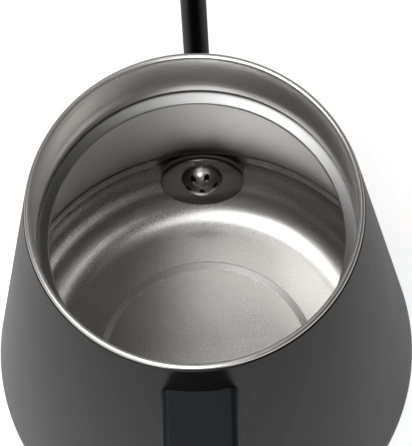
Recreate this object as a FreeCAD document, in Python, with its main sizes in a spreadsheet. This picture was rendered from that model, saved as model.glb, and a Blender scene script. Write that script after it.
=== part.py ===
import FreeCAD, Part
import math
import os

import Sketcher

# Electric kettle with a gooseneck spout on a round power base.
# Millimetres, +Z up, origin on the table under the middle of the base.
# The spout points to +Y and the handle to -Y.

doc = FreeCAD.newDocument("Kettle")
sheet = doc.addObject("Spreadsheet::Sheet", "Sizes")

DRIVING_SIZES = {
    # Gaps that pieces share
    "fit_gap": 0.15,
    "weld_gap": 0.1,
    "seat_gap": 0.3,
    # Power base
    "foot_height": 2.0,
    "foot_inset": 4.5,
    "foot_width": 4.5,
    "foot_socket": 0.8,
    "base_radius": 58.0,
    "base_height": 24.0,
    "base_wall": 2.2,
    "base_round": 5.0,
    "base_plate_thickness": 2.4,
    "base_boss_radius": 3.4,
    "base_boss_inset": 14.0,
    "base_screw_radius": 1.4,
    "base_screw_head": 2.6,
    "base_screw_head_height": 1.2,
    "base_screw_length": 12.0,
    # Plug of the base
    "plug_radius": 16.0,
    "plug_depth": 10.0,
    "plug_flange": 3.0,
    "plug_flange_height": 2.0,
    "post_radius": 5.5,
    "post_height": 7.0,
    "ring_wall": 0.7,
    "ring_height": 2.2,
    "ring_rise": 1.2,
    "outer_ring_radius": 12.0,
    "outer_ring_rise": 3.0,
    "outer_ring_root": 4.0,
    "pin_radius": 1.5,
    "pin_rise": 1.5,
    "pin_root": 3.0,
    # Base electronics and button
    "board_width": 40.0,
    "board_length": 24.0,
    "board_thickness": 1.6,
    "board_rise": 3.0,
    "board_inset": 14.0,
    "board_post_radius": 2.5,
    "board_post_inset": 4.0,
    "relay_width": 16.0,
    "relay_length": 10.0,
    "relay_height": 9.0,
    "relay_back": 2.0,
    "button_height": 13.0,
    "button_radius": 5.0,
    "button_proud": 1.6,
    "button_roof": 2.0,
    "button_flange": 1.2,
    "button_flange_height": 1.2,
    "button_travel": 1.0,
    "button_bore": 3.6,
    "button_stem": 1.4,
    "switch_width": 8.0,
    "switch_length": 5.0,
    "switch_height": 9.0,
    "plunger_radius": 1.4,
    "plunger_length": 2.0,
    "spring_radius": 3.0,
    "spring_wall": 0.6,
    "indicator_radius": 1.5,
    "indicator_length": 6.0,
    "indicator_side": 12.0,
    "gland_height": 12.0,
    "gland_radius": 5.5,
    "gland_flange": 1.6,
    "gland_flange_height": 3.0,
    "gland_bore": 3.6,
    "gland_tail": 4.0,
    # Jug body
    "rim_radius": 48.0,
    "body_height": 151.0,
    "shell_flare": 0.147,
    "shell_wall": 0.9,
    "bottom_round": 30.0,
    "opening_reach": 8.5,
    "lip_roll": 1.7,
    "lip_step": 0.35,
    "lip_seat": 0.05,
    "collar_wall": 0.6,
    "collar_set": 2.2,
    "collar_hollow_round": 44.0,
    "collar_straight": 6.0,
    "collar_depth": 21.7,
    "seam_gap": 1.7,
    "ledge_width": 3.0,
    "ledge_drop": 1.0,
    "ledge_wall": 1.2,
    # Floor pan
    "pan_wall": 1.0,
    "pan_top": 42.0,
    "floor_rise": 15.6,
    "cove_round": 17.5,
    "bead_land": 1.8,
    "bead_notch": 0.9,
    "bead_notch_depth": 0.35,
    "bead_round": 5.2,
    "floor_ring": 10.2,
    "sink_slope": 2.2,
    "sink_depth": 0.7,
    # Spout and strainer
    "spout_rise": 34.65,
    "spout_radius": 4.0,
    "spout_wall": 0.6,
    "inlet_gap": 2.2,
    "elbow_reach": 14.0,
    "elbow_round": 9.0,
    "spout_lean": 12.0,
    "crest_rise": 146.0,
    "crest_round": 17.0,
    "tip_reach": 32.0,
    "tip_climb": 6.0,
    "ferrule_radius": 9.0,
    "ferrule_sink": 8.0,
    "ferrule_rim": 1.2,
    "ferrule_length": 5.4,
    "ferrule_hollow": 6.5,
    "plate_radius": 13.5,
    "plate_wall": 0.8,
    "plate_standoff": 5.65,
    "plate_drop": 2.7,
    "plate_tilt": 10.0,
    "plate_sleeve": 2.2,
    "seal_depth": 1.7,
    "dome_radius": 6.6,
    "dome_height": 5.4,
    "dome_wall": 0.6,
    "dome_hole_radius": 0.9,
    "dome_hole_circle": 4.3,
    "dome_hole_lift": 0.8,
    # Handle
    "arm_width": 21.6,
    "arm_thickness": 13.0,
    "arm_drop": 13.4,
    "grip_reach": 60.0,
    "grip_thickness": 17.0,
    "grip_rise": 40.0,
    "grip_outer_round": 26.0,
    "grip_inner_round": 12.0,
    "grip_end_round": 5.0,
    "handle_edge_round": 2.2,
    "channel_width": 14.0,
    "channel_depth": 8.0,
    "channel_reach": 36.0,
    "bracket_thickness": 3.0,
    "bracket_foot": 5.0,
    "cover_thickness": 2.4,
    "handle_screw_radius": 1.5,
    "handle_screw_head": 2.8,
    "handle_screw_head_height": 1.1,
    "handle_screw_near": 13.0,
    "handle_screw_far": 29.0,
    # Heater and underside of the jug
    "spreader_margin": 1.2,
    "spreader_thickness": 2.4,
    "element_margin": 5.5,
    "element_radius": 3.0,
    "terminal_radius": 1.2,
    "terminal_length": 4.0,
    "cutout_radius": 3.4,
    "cutout_height": 4.0,
    "sensor_radius": 2.0,
    "sensor_height": 4.5,
    "socket_radius": 18.0,
    "socket_bore": 7.6,
    "socket_roof": 2.0,
    "socket_slot_room": 1.0,
    "contact_wall": 0.8,
    "bottom_thickness": 2.4,
    "cover_web": 0.6,
    "stud_radius": 2.8,
    "stud_edge": 5.2,
    "stud_screw_radius": 1.3,
    "stud_screw_head": 2.3,
    "stud_screw_head_height": 0.9,
    "stud_screw_length": 8.0,
}

SAME_PLACE = 1e-6
BASE_SCREWS = 4
COVER_STUDS = 3
DOME_HOLES = 6
DOME_FIRST_HOLE = 8.0
BASE_SCREW_TURN = 45.0
STUD_TURN = 30.0
ELEMENT_SWEEP = 290.0
CUTOUT_TURN = 315.0
SENSOR_TURN = 337.0
FULL_TURN = 360.0
QUARTER = 90.0
X_AXIS = FreeCAD.Vector(1, 0, 0)
Z_AXIS = FreeCAD.Vector(0, 0, 1)


class Size:
    """A length with the formula that ties it to the sheet."""

    def __init__(self, text, value):
        self.text = text
        self.value = value

    def __add__(self, other):
        other = size(other)
        return Size(f"({self.text} + {other.text})", self.value + other.value)

    def __sub__(self, other):
        other = size(other)
        return Size(f"({self.text} - {other.text})", self.value - other.value)

    def __mul__(self, other):
        other = size(other)
        return Size(f"({self.text} * {other.text})", self.value * other.value)

    def __truediv__(self, other):
        other = size(other)
        return Size(f"({self.text} / {other.text})", self.value / other.value)

    def __neg__(self):
        return Size(f"(0 - {self.text})", -self.value)

    __radd__ = __add__
    __rmul__ = __mul__


def size(number):
    """A plain number as a Size."""
    return number if isinstance(number, Size) else Size(repr(float(number)), float(number))


def root(square):
    return Size(f"sqrt({square.text})", math.sqrt(square.value))


def leg(hypotenuse, other):
    """Third side of a right triangle."""
    return root(hypotenuse * hypotenuse - other * other)


def sine(degrees):
    return Size(f"sin({degrees.text})", math.sin(math.radians(degrees.value)))


def cosine(degrees):
    return Size(f"cos({degrees.text})", math.cos(math.radians(degrees.value)))


class Named:
    """The driving sizes as attributes."""

    def __init__(self, sizes):
        self.__dict__.update(sizes)


def fill_sheet():
    """Write the driving sizes to the sheet and return them by name."""
    sizes = {}
    for row, (name, number) in enumerate(DRIVING_SIZES.items(), start=1):
        sheet.set(f"A{row}", name)
        sheet.set(f"B{row}", str(number))
        sheet.setAlias(f"B{row}", name)
        sizes[name] = Size(f"Sizes.{name}", number)
    doc.recompute()
    return Named(sizes)


D = fill_sheet()
nodes = {}
nothing = size(0)

# Heights and faces that several pieces share
plate_low = D.foot_height
plate_top = plate_low + D.base_plate_thickness
housing_roof = D.base_height - D.base_wall
inner_wall = D.base_radius - D.base_wall
board_low = plate_top + D.board_rise
board_top = board_low + D.board_thickness
board_front = D.base_radius - D.board_inset
board_back = board_front - D.board_length
jug_low = D.base_height + D.seat_gap
rim_height = jug_low + D.body_height
lip_low = rim_height - D.lip_roll
shell_top = lip_low - D.lip_seat
collar_low = rim_height - D.collar_depth
ledge_top = collar_low - D.seam_gap
flare_length = root(1 + D.shell_flare * D.shell_flare)
bottom_centre = (D.rim_radius + D.shell_flare * (D.body_height - D.bottom_round)
                 - D.bottom_round * flare_length)
bottom_centre_height = jug_low + D.bottom_round
floor_top = jug_low + D.floor_rise
sunk_floor = floor_top - D.sink_depth
pan_top = jug_low + D.pan_top
spout_height = jug_low + D.spout_rise
collar_bore = D.rim_radius - D.collar_set
bottom_opening = bottom_centre + D.opening_reach
spreader_top = sunk_floor - D.pan_wall - D.weld_gap
spreader_low = spreader_top - D.spreader_thickness
hanging_face = spreader_low - D.weld_gap
arm_top = rim_height - D.arm_drop
arm_low = arm_top - D.arm_thickness


def shell_radius(height, inset):
    """Radius of the flared wall at a height, set in from its outer face."""
    return D.rim_radius + D.shell_flare * (rim_height - height) - inset * flare_length


def bottom_edge(inset, radius):
    """Height of the bottom round at a radius, set in from its outer face."""
    return bottom_centre_height - leg(D.bottom_round - inset, radius - bottom_centre)


pan_face = D.shell_wall + D.weld_gap
pan_inside = pan_face + D.pan_wall
cove_height = floor_top + D.cove_round
cove_centre = shell_radius(cove_height, pan_inside) - D.cove_round * flare_length
sink_radius = cove_centre - D.floor_ring
sunk_radius = sink_radius - D.sink_slope
spreader_radius = sunk_radius - D.spreader_margin
element_circle = spreader_radius - D.element_margin
arm_root = shell_radius(arm_top, nothing)
plate_reach = shell_radius(spout_height, pan_inside) - D.plate_standoff
spout_start = plate_reach + D.inlet_gap


def bind(thing, name, length):
    thing.setExpression(name, size(length).text)


def new_body(label):
    body = doc.addObject("PartDesign::Body", label)
    body.Label = label
    nodes[label] = body
    return body


def new_sketch(body, name, plane):
    sketch = body.newObject("Sketcher::SketchObject", name)
    support = [item for item in body.Origin.OriginFeatures if item.Role == plane][0]
    sketch.AttachmentSupport = [(support, "")]
    sketch.MapMode = "FlatFace"
    return sketch


def pin(sketch, kind, geometry, end, length):
    """Fix one coordinate of a point, measured from the sketch's origin."""
    length = size(length)
    index = sketch.addConstraint(Sketcher.Constraint(kind, -1, 1, geometry, end, length.value))
    sketch.setExpression(f"Constraints[{index}]", length.text)


def set_radius(sketch, geometry, radius):
    index = sketch.addConstraint(Sketcher.Constraint("Radius", geometry, radius.value))
    sketch.setExpression(f"Constraints[{index}]", radius.text)


def draw_circle(sketch, across, up, radius):
    middle = FreeCAD.Vector(size(across).value, size(up).value, 0)
    ring = sketch.addGeometry(Part.Circle(middle, Z_AXIS, radius.value), False)
    pin(sketch, "DistanceX", ring, 3, across)
    pin(sketch, "DistanceY", ring, 3, up)
    set_radius(sketch, ring, radius)


def arc_between(start, end, radius):
    """Arc of under a half turn; a positive radius turns left on the way, a negative one right."""
    chord = end - start
    left = FreeCAD.Vector(-chord.y, chord.x, 0).normalize()
    rise = math.sqrt(max(radius ** 2 - chord.Length ** 2 / 4, 0))
    centre = (start + end) * 0.5 + left * math.copysign(rise, radius)
    first, last = (start, end) if radius > 0 else (end, start)
    first_angle = math.atan2(first.y - centre.y, first.x - centre.x)
    last_angle = math.atan2(last.y - centre.y, last.x - centre.x)
    return Part.ArcOfCircle(Part.Circle(centre, Z_AXIS, abs(radius)), first_angle, last_angle)


def draw_outline(sketch, points):
    """Closed outline. A point is (across, up), or (across, up, radius) at the end of an arc."""
    places = [FreeCAD.Vector(size(point[0]).value, size(point[1]).value, 0) for point in points]
    count = len(points)
    ends = []
    for step in range(count):
        after = (step + 1) % count
        if len(points[after]) == 2:
            geometry = sketch.addGeometry(Part.LineSegment(places[step], places[after]), False)
            ends.append((geometry, 1, 2))
        else:
            radius = points[after][2].value
            geometry = sketch.addGeometry(arc_between(places[step], places[after], radius), False)
            ends.append((geometry, 1, 2) if radius > 0 else (geometry, 2, 1))
    for step in range(count):
        geometry, start, finish = ends[step]
        following, following_start, _ = ends[(step + 1) % count]
        sketch.addConstraint(Sketcher.Constraint("Coincident", geometry, finish, following, following_start))
        pin(sketch, "DistanceX", geometry, start, points[step][0])
        pin(sketch, "DistanceY", geometry, start, points[step][1])
    for step in range(count):
        after = points[(step + 1) % count]
        if len(after) == 3:
            set_radius(sketch, ends[step][0], after[2] if after[2].value > 0 else -after[2])


def turn(body, name, points, kind="PartDesign::Revolution"):
    """Turn an outline (radius, height) about the upright axis."""
    sketch = new_sketch(body, name + "_outline", "XZ_Plane")
    draw_outline(sketch, points)
    feature = body.newObject(kind, name)
    feature.Profile = sketch
    feature.ReferenceAxis = (sketch, ["V_Axis"])
    feature.Angle = FULL_TURN
    return feature


def turned_piece(label, points):
    body = new_body(label)
    turn(body, label + "_turning", points)
    return body


def piece_along(label, height, points, side=0):
    """Turn an outline (along, radius) about a line parallel to Y."""
    body = new_body(label)
    sketch = new_sketch(body, label + "_outline", "YZ_Plane")
    bind(sketch, "AttachmentOffset.Base.y", height)
    bind(sketch, "AttachmentOffset.Base.z", side)
    draw_outline(sketch, points)
    feature = body.newObject("PartDesign::Revolution", label + "_turning")
    feature.Profile = sketch
    feature.ReferenceAxis = (sketch, ["H_Axis"])
    feature.Angle = FULL_TURN
    return body


def place(feature, across, along, up, rotation=None):
    feature.Placement = FreeCAD.Placement(FreeCAD.Vector(), rotation or FreeCAD.Rotation())
    bind(feature, "Placement.Base.x", across)
    bind(feature, "Placement.Base.y", along)
    bind(feature, "Placement.Base.z", up)


TOWARDS_SPOUT = FreeCAD.Rotation(X_AXIS, -QUARTER)
TOWARDS_HANDLE = FreeCAD.Rotation(X_AXIS, QUARTER)


def cylinder(body, name, kind, radius, height, across, along, up, rotation=None):
    """Round boss ("Additive") or hole ("Subtractive") from its foot at the given place."""
    feature = body.newObject(f"PartDesign::{kind}Cylinder", name)
    bind(feature, "Radius", radius)
    bind(feature, "Height", height)
    place(feature, across, along, up, rotation)
    return feature


def block(body, name, kind, width, length, height, along, up):
    """Box centred across the object, from its end nearest -Y."""
    feature = body.newObject(f"PartDesign::{kind}Box", name)
    bind(feature, "Length", width)
    bind(feature, "Width", length)
    bind(feature, "Height", height)
    place(feature, -(width / 2), along, up)


def around(count, circle, first):
    """Places of equal pieces on a circle."""
    places = []
    for index in range(count):
        angle = size(first + FULL_TURN * index / count)
        places.append((circle * cosine(angle), circle * sine(angle)))
    return places


def loose_cylinder(name, radius, height, across, along, up, rotation=None):
    feature = doc.addObject("Part::Cylinder", name)
    bind(feature, "Radius", radius)
    bind(feature, "Height", height)
    place(feature, across, along, up, rotation)
    return feature


def group(label, members):
    """One node of separate like pieces."""
    joined = doc.addObject("Part::MultiFuse", label)
    joined.Label = label
    joined.Shapes = members
    nodes[label] = joined


def screws(label, places, head_radius, head_height, shank_radius, length, low):
    """Cap screws driven upwards, with their heads' faces at one height."""
    members = []
    for index, (across, along) in enumerate(places):
        head = loose_cylinder(f"{label}_head_{index}", head_radius, head_height, across, along, low)
        shank = loose_cylinder(f"{label}_shank_{index}", shank_radius, length, across, along, low + head_height)
        members += [head, shank]
    group(label, members)


def make_body_shell():
    """Flared sheet wall from the lip to the turned-in bottom edge, with the spout's hole."""
    inner_round = D.bottom_round - D.shell_wall
    body = turned_piece("body_shell", [
        (bottom_opening, bottom_edge(nothing, bottom_opening)),
        (bottom_centre + D.bottom_round / flare_length,
         bottom_centre_height + D.bottom_round * D.shell_flare / flare_length, D.bottom_round),
        (shell_radius(shell_top, nothing), shell_top),
        (shell_radius(shell_top, D.shell_wall), shell_top),
        (bottom_centre + inner_round / flare_length,
         bottom_centre_height + inner_round * D.shell_flare / flare_length),
        (bottom_opening, bottom_edge(D.shell_wall, bottom_opening), -inner_round),
    ])
    cylinder(body, "shell_spout_hole", "Subtractive", D.spout_radius + D.weld_gap, D.rim_radius * 2,
             0, 0, spout_height, TOWARDS_SPOUT)


def make_mouth():
    """Rolled bright lip with its hollow band, and the polished ring below the seam."""
    lip = D.lip_roll / 2
    lip_middle = rim_height - lip
    lip_inner = D.rim_radius - D.lip_roll
    straight_top = collar_low + D.collar_straight
    turned_piece("mouth_collar", [
        (collar_bore, collar_low),
        (collar_bore + D.collar_wall, collar_low),
        (collar_bore + D.collar_wall, straight_top),
        (D.rim_radius - lip, lip_low, D.collar_hollow_round + D.collar_wall),
        (D.rim_radius, lip_middle, lip),
        (D.rim_radius - lip, rim_height, lip),
        (lip_inner, lip_middle, lip),
        (lip_inner, lip_low + D.lip_step),
        (lip_inner + D.lip_step, lip_low),
        (collar_bore, straight_top, -D.collar_hollow_round),
    ])
    flange = shell_radius(ledge_top, D.shell_wall) - D.weld_gap
    ledge_bore = collar_bore - D.ledge_width
    turned_piece("lid_ledge_ring", [
        (ledge_bore, ledge_top - D.ledge_drop - D.ledge_wall),
        (collar_bore, ledge_top - D.ledge_wall),
        (flange, ledge_top - D.ledge_wall),
        (flange, ledge_top),
        (collar_bore, ledge_top),
        (ledge_bore, ledge_top - D.ledge_drop),
    ])


def make_floor_pan():
    """Dish lapped inside the wall: bead at the top edge, cove, flat ring and sunk centre."""
    outer_cove = D.cove_round + D.pan_wall
    notch_top = pan_top - D.bead_land
    notch_middle = notch_top - D.bead_notch / 2
    notch_low = notch_top - D.bead_notch
    body = turned_piece("floor_pan", [
        (0, sunk_floor - D.pan_wall),
        (sunk_radius, sunk_floor - D.pan_wall),
        (sink_radius, floor_top - D.pan_wall),
        (cove_centre, floor_top - D.pan_wall),
        (cove_centre + outer_cove / flare_length,
         cove_height + outer_cove * D.shell_flare / flare_length, outer_cove),
        (shell_radius(pan_top, pan_face), pan_top),
        (shell_radius(pan_top, pan_inside), pan_top),
        (shell_radius(notch_top, pan_inside), notch_top),
        (shell_radius(notch_middle, pan_inside) + D.bead_notch_depth, notch_middle),
        (shell_radius(notch_low, pan_inside), notch_low),
        (cove_centre + D.cove_round / flare_length,
         cove_height + D.cove_round * D.shell_flare / flare_length, D.bead_round),
        (cove_centre, floor_top, -D.cove_round),
        (sink_radius, floor_top),
        (sunk_radius, sunk_floor),
        (0, sunk_floor),
    ])
    cylinder(body, "pan_spout_hole", "Subtractive", D.spout_radius + D.weld_gap, D.rim_radius * 2,
             0, 0, spout_height, TOWARDS_SPOUT)


def clear_of_shell(body, name):
    """Cut a piece back from the outside of the flared wall."""
    turned_gap = D.bottom_round + D.weld_gap
    turn(body, name, [
        (0, jug_low - D.weld_gap),
        (bottom_centre, jug_low - D.weld_gap),
        (bottom_centre + turned_gap / flare_length,
         bottom_centre_height + turned_gap * D.shell_flare / flare_length, turned_gap),
        (shell_radius(rim_height, -D.weld_gap), rim_height),
        (0, rim_height),
    ], kind="PartDesign::Groove")


def corner_arc(before, corner, after, radius):
    """Tangent arc in a corner of a line: where it starts and ends, the arc, and if it turns left."""
    towards = (before - corner).normalize()
    onward = (after - corner).normalize()
    trim = radius / math.tan(towards.getAngle(onward) / 2)
    start = corner + towards * trim
    end = corner + onward * trim
    turns_left = towards.cross(onward).z < 0
    return start, end, arc_between(start, end, radius if turns_left else -radius), turns_left


def make_spout():
    """Gooseneck tube: out of the wall, up behind the body, over and out to the tip."""
    elbow = shell_radius(spout_height, nothing) + D.elbow_reach
    crest = elbow + D.spout_lean
    crest_height = jug_low + D.crest_rise
    corners = [
        (spout_start, spout_height),
        (elbow, spout_height),
        (crest, crest_height),
        (crest + D.tip_reach, crest_height + D.tip_climb),
    ]
    rounds = [D.elbow_round, D.crest_round]
    places = [FreeCAD.Vector(along.value, up.value, 0) for along, up in corners]
    arcs = [corner_arc(*places[index:index + 3], rounds[index].value) for index in range(2)]
    stops = [places[0], arcs[0][0], arcs[0][1], arcs[1][0], arcs[1][1], places[3]]
    body = new_body("spout_tube")
    path = new_sketch(body, "spout_line", "YZ_Plane")
    lines = []
    for index in range(3):
        run = Part.LineSegment(stops[2 * index], stops[2 * index + 1])
        lines.append(path.addGeometry(run, False))
    for index, (_, _, arc, turns_left) in enumerate(arcs):
        bend = path.addGeometry(arc, False)
        first, last = (1, 2) if turns_left else (2, 1)
        path.addConstraint(Sketcher.Constraint("Tangent", lines[index], 2, bend, first))
        path.addConstraint(Sketcher.Constraint("Tangent", bend, last, lines[index + 1], 1))
        set_radius(path, bend, rounds[index])
        corner = path.addGeometry(Part.Point(places[index + 1]), True)
        pin(path, "DistanceX", corner, 1, corners[index + 1][0])
        pin(path, "DistanceY", corner, 1, corners[index + 1][1])
        path.addConstraint(Sketcher.Constraint("PointOnObject", corner, 1, lines[index]))
        path.addConstraint(Sketcher.Constraint("PointOnObject", corner, 1, lines[index + 1]))
    for line, end, (along, up) in ((lines[0], 1, corners[0]), (lines[2], 2, corners[3])):
        pin(path, "DistanceX", line, end, along)
        pin(path, "DistanceY", line, end, up)
    section = new_sketch(body, "spout_section", "XZ_Plane")
    bind(section, "AttachmentOffset.Base.z", -spout_start)
    draw_circle(section, 0, spout_height, D.spout_radius)
    draw_circle(section, 0, spout_height, D.spout_radius - D.spout_wall)
    pipe = body.newObject("PartDesign::AdditivePipe", "spout_sweep")
    pipe.Profile = section
    pipe.Spine = path

    wall_face = shell_radius(spout_height, nothing)
    bore = D.spout_radius + D.weld_gap
    ferrule = piece_along("spout_ferrule", spout_height, [
        (wall_face - D.ferrule_sink, bore),
        (wall_face + D.ferrule_length, bore),
        (wall_face + D.ferrule_length, bore + D.spout_wall),
        (wall_face + D.ferrule_rim, D.ferrule_radius, -D.ferrule_hollow),
        (wall_face - D.ferrule_sink, D.ferrule_radius),
    ])
    clear_of_shell(ferrule, "ferrule_seat")


def make_strainer():
    """Nearly upright disc in the cove, with a perforated dome above its middle over the inlet."""
    half = D.plate_wall / 2
    hole = D.dome_radius + D.fit_gap
    plate = turned_piece("strainer_plate", [
        (hole, -half - D.plate_sleeve),
        (hole + D.plate_wall, -half - D.plate_sleeve),
        (hole + D.plate_wall, half),
        (hole, half),
    ])
    cylinder(plate, "plate_disc", "Additive", D.plate_radius, D.plate_wall, 0, -D.plate_drop, -half)
    cylinder(plate, "plate_opening", "Subtractive", hole, D.plate_wall, 0, 0, -half)
    crown = (D.dome_radius * D.dome_radius + D.dome_height * D.dome_height) / (D.dome_height * 2)
    inner_crown = crown - D.dome_wall
    crown_top = half + D.dome_height
    inner_radius = leg(inner_crown, crown - D.dome_height)
    dome = turned_piece("strainer_dome", [
        (inner_radius, -half),
        (D.dome_radius, -half),
        (D.dome_radius, half),
        (0, crown_top, crown),
        (0, crown_top - D.dome_wall),
        (inner_radius, half, -inner_crown),
    ])
    holes = [(nothing, nothing)] + around(DOME_HOLES, D.dome_hole_circle, DOME_FIRST_HOLE)
    for index, (across, along) in enumerate(holes):
        cylinder(dome, f"dome_hole_{index}", "Subtractive", D.dome_hole_radius, D.dome_height * 2,
                 across, along + D.dome_hole_lift, 0)
    for piece in (plate, dome):
        place(piece, 0, plate_reach, spout_height)
        face_forward(piece)
    make_strainer_seal(hole + D.plate_wall + D.fit_gap, half + D.fit_gap)


def face_forward(feature):
    """Turn a piece of the strainer from flat to its nearly upright stand."""
    feature.setExpression("Placement.Rotation.Axis.x", "1")
    feature.setExpression("Placement.Rotation.Axis.z", "0")
    bind(feature, "Placement.Rotation.Angle", size(QUARTER) - D.plate_tilt)


def make_strainer_seal(bore, front):
    """Dark seal between the strainer's disc and the wall behind it."""
    body = new_body("strainer_seal")
    foot = front + D.seal_depth
    along = plate_reach + foot * cosine(D.plate_tilt)
    up = spout_height - foot * sine(D.plate_tilt)
    disc_along = along - D.plate_drop * sine(D.plate_tilt)
    disc_up = up - D.plate_drop * cosine(D.plate_tilt)
    face_forward(cylinder(body, "seal_pad", "Additive", D.plate_radius - D.fit_gap, D.seal_depth,
                          0, disc_along, disc_up))
    face_forward(cylinder(body, "seal_bore", "Subtractive", bore, D.seal_depth, 0, along, up))
    gap = D.bead_notch_depth + D.fit_gap
    cove = D.cove_round - gap
    top = pan_top + D.plate_radius
    far = D.rim_radius * 2
    turn(body, "seal_back", [
        (cove_centre, jug_low),
        (far, jug_low),
        (far, top),
        (shell_radius(top, pan_inside + gap), top),
        (cove_centre + cove / flare_length, cove_height + cove * D.shell_flare / flare_length),
        (cove_centre, floor_top + gap, -cove),
    ], kind="PartDesign::Groove")


def side_edges(shape, half_width):
    """Names of the edges that lie in the two side faces."""
    names = []
    for index, edge in enumerate(shape.Edges, start=1):
        box = edge.BoundBox
        if box.XLength < half_width and abs(abs(box.Center.x) - half_width) < SAME_PLACE:
            names.append(f"Edge{index}")
    return names


def make_handle():
    """Straight arm from the wall, turned down into a grip, with its bracket and cover inside."""
    grip_outer = arm_root + D.grip_reach
    grip_inner = grip_outer - D.grip_thickness
    grip_low = jug_low + D.grip_rise
    shell = new_body("handle_shell")
    sketch = new_sketch(shell, "handle_outline", "YZ_Plane")
    draw_outline(sketch, [
        (-collar_bore, arm_top),
        (-(grip_outer - D.grip_outer_round), arm_top),
        (-grip_outer, arm_top - D.grip_outer_round, D.grip_outer_round),
        (-grip_outer, grip_low + D.grip_end_round),
        (-(grip_outer - D.grip_end_round), grip_low, D.grip_end_round),
        (-(grip_inner + D.grip_end_round), grip_low),
        (-grip_inner, grip_low + D.grip_end_round, D.grip_end_round),
        (-grip_inner, arm_low - D.grip_inner_round),
        (-(grip_inner - D.grip_inner_round), arm_low, -D.grip_inner_round),
        (-collar_bore, arm_low),
    ])
    pad = shell.newObject("PartDesign::Pad", "handle_pad")
    pad.Profile = sketch
    pad.SideType = "Symmetric"
    bind(pad, "Length", D.arm_width)
    doc.recompute()
    rounding = shell.newObject("PartDesign::Fillet", "handle_edges")
    rounding.Base = (pad, side_edges(pad.Shape, D.arm_width.value / 2))
    bind(rounding, "Radius", D.handle_edge_round)
    clear_of_shell(shell, "handle_seat")
    channel_end = arm_root + D.channel_reach
    block(shell, "handle_channel", "Subtractive", D.channel_width, channel_end - collar_bore,
          D.channel_depth, -channel_end, arm_low)

    tongue_width = D.channel_width - D.fit_gap * 2
    tongue_end = channel_end - D.fit_gap
    tongue_length = tongue_end - collar_bore
    tongue_low = arm_low + D.channel_depth - D.fit_gap - D.bracket_thickness
    cover_top = arm_low + D.cover_thickness
    foot_end = shell_radius(arm_low, nothing) + D.bracket_foot
    bracket = new_body("handle_bracket")
    block(bracket, "bracket_tongue", "Additive", tongue_width, tongue_length, D.bracket_thickness,
          -tongue_end, tongue_low)
    foot_low = cover_top + D.fit_gap
    block(bracket, "bracket_foot_plate", "Additive", tongue_width, foot_end - collar_bore,
          tongue_low - foot_low, -foot_end, foot_low)
    clear_of_shell(bracket, "bracket_seat")
    cover = new_body("handle_cover")
    block(cover, "cover_strip", "Additive", tongue_width, tongue_length, D.cover_thickness,
          -tongue_end, arm_low)
    clear_of_shell(cover, "cover_seat")
    screw_hole = D.handle_screw_radius + D.fit_gap
    head_hole = D.handle_screw_head + D.fit_gap
    head_room = D.handle_screw_head_height + D.fit_gap
    places = []
    for index, reach in enumerate((D.handle_screw_near, D.handle_screw_far)):
        along = -(arm_root + reach)
        places.append((nothing, along))
        cylinder(cover, f"cover_hole_{index}", "Subtractive", screw_hole, D.cover_thickness,
                 0, along, arm_low)
        cylinder(cover, f"cover_counterbore_{index}", "Subtractive", head_hole, head_room,
                 0, along, arm_low)
        cylinder(bracket, f"bracket_hole_{index}", "Subtractive", screw_hole, D.bracket_thickness,
                 0, along, tongue_low)
    screw_reach = tongue_low + D.bracket_thickness - arm_low - D.handle_screw_head_height
    screws("handle_screws", places, D.handle_screw_head, D.handle_screw_head_height,
           D.handle_screw_radius, screw_reach, arm_low)


def make_heater():
    """Heat spreader under the sunk floor, with the open ring element and its small fittings."""
    turned_piece("heat_spreader", [
        (0, spreader_low),
        (spreader_radius, spreader_low),
        (spreader_radius, spreader_top),
        (0, spreader_top),
    ])
    element_height = hanging_face - D.element_radius
    element = new_body("heating_element")
    section = new_sketch(element, "element_section", "XZ_Plane")
    draw_circle(section, element_circle, element_height, D.element_radius)
    ring = element.newObject("PartDesign::Revolution", "element_ring")
    ring.Profile = section
    ring.ReferenceAxis = (section, ["V_Axis"])
    ring.Angle = ELEMENT_SWEEP
    terminals = []
    for index, (end_angle, away) in enumerate(((0.0, TOWARDS_HANDLE), (ELEMENT_SWEEP, TOWARDS_SPOUT))):
        angle = size(end_angle)
        heading = FreeCAD.Rotation(Z_AXIS, end_angle) * away
        terminals.append(loose_cylinder(
            f"terminal_{index}", D.terminal_radius, D.terminal_length,
            element_circle * cosine(angle), element_circle * sine(angle), element_height, heading))
    group("element_terminals", terminals)
    fittings = (
        ("thermal_cutout", CUTOUT_TURN, D.cutout_radius, D.cutout_height),
        ("temperature_sensor", SENSOR_TURN, D.sensor_radius, D.sensor_height),
    )
    for label, turned, radius, height in fittings:
        angle = size(turned)
        cylinder(new_body(label), label + "_can", "Additive", radius, height,
                 element_circle * cosine(angle), element_circle * sine(angle), hanging_face - height)


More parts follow.
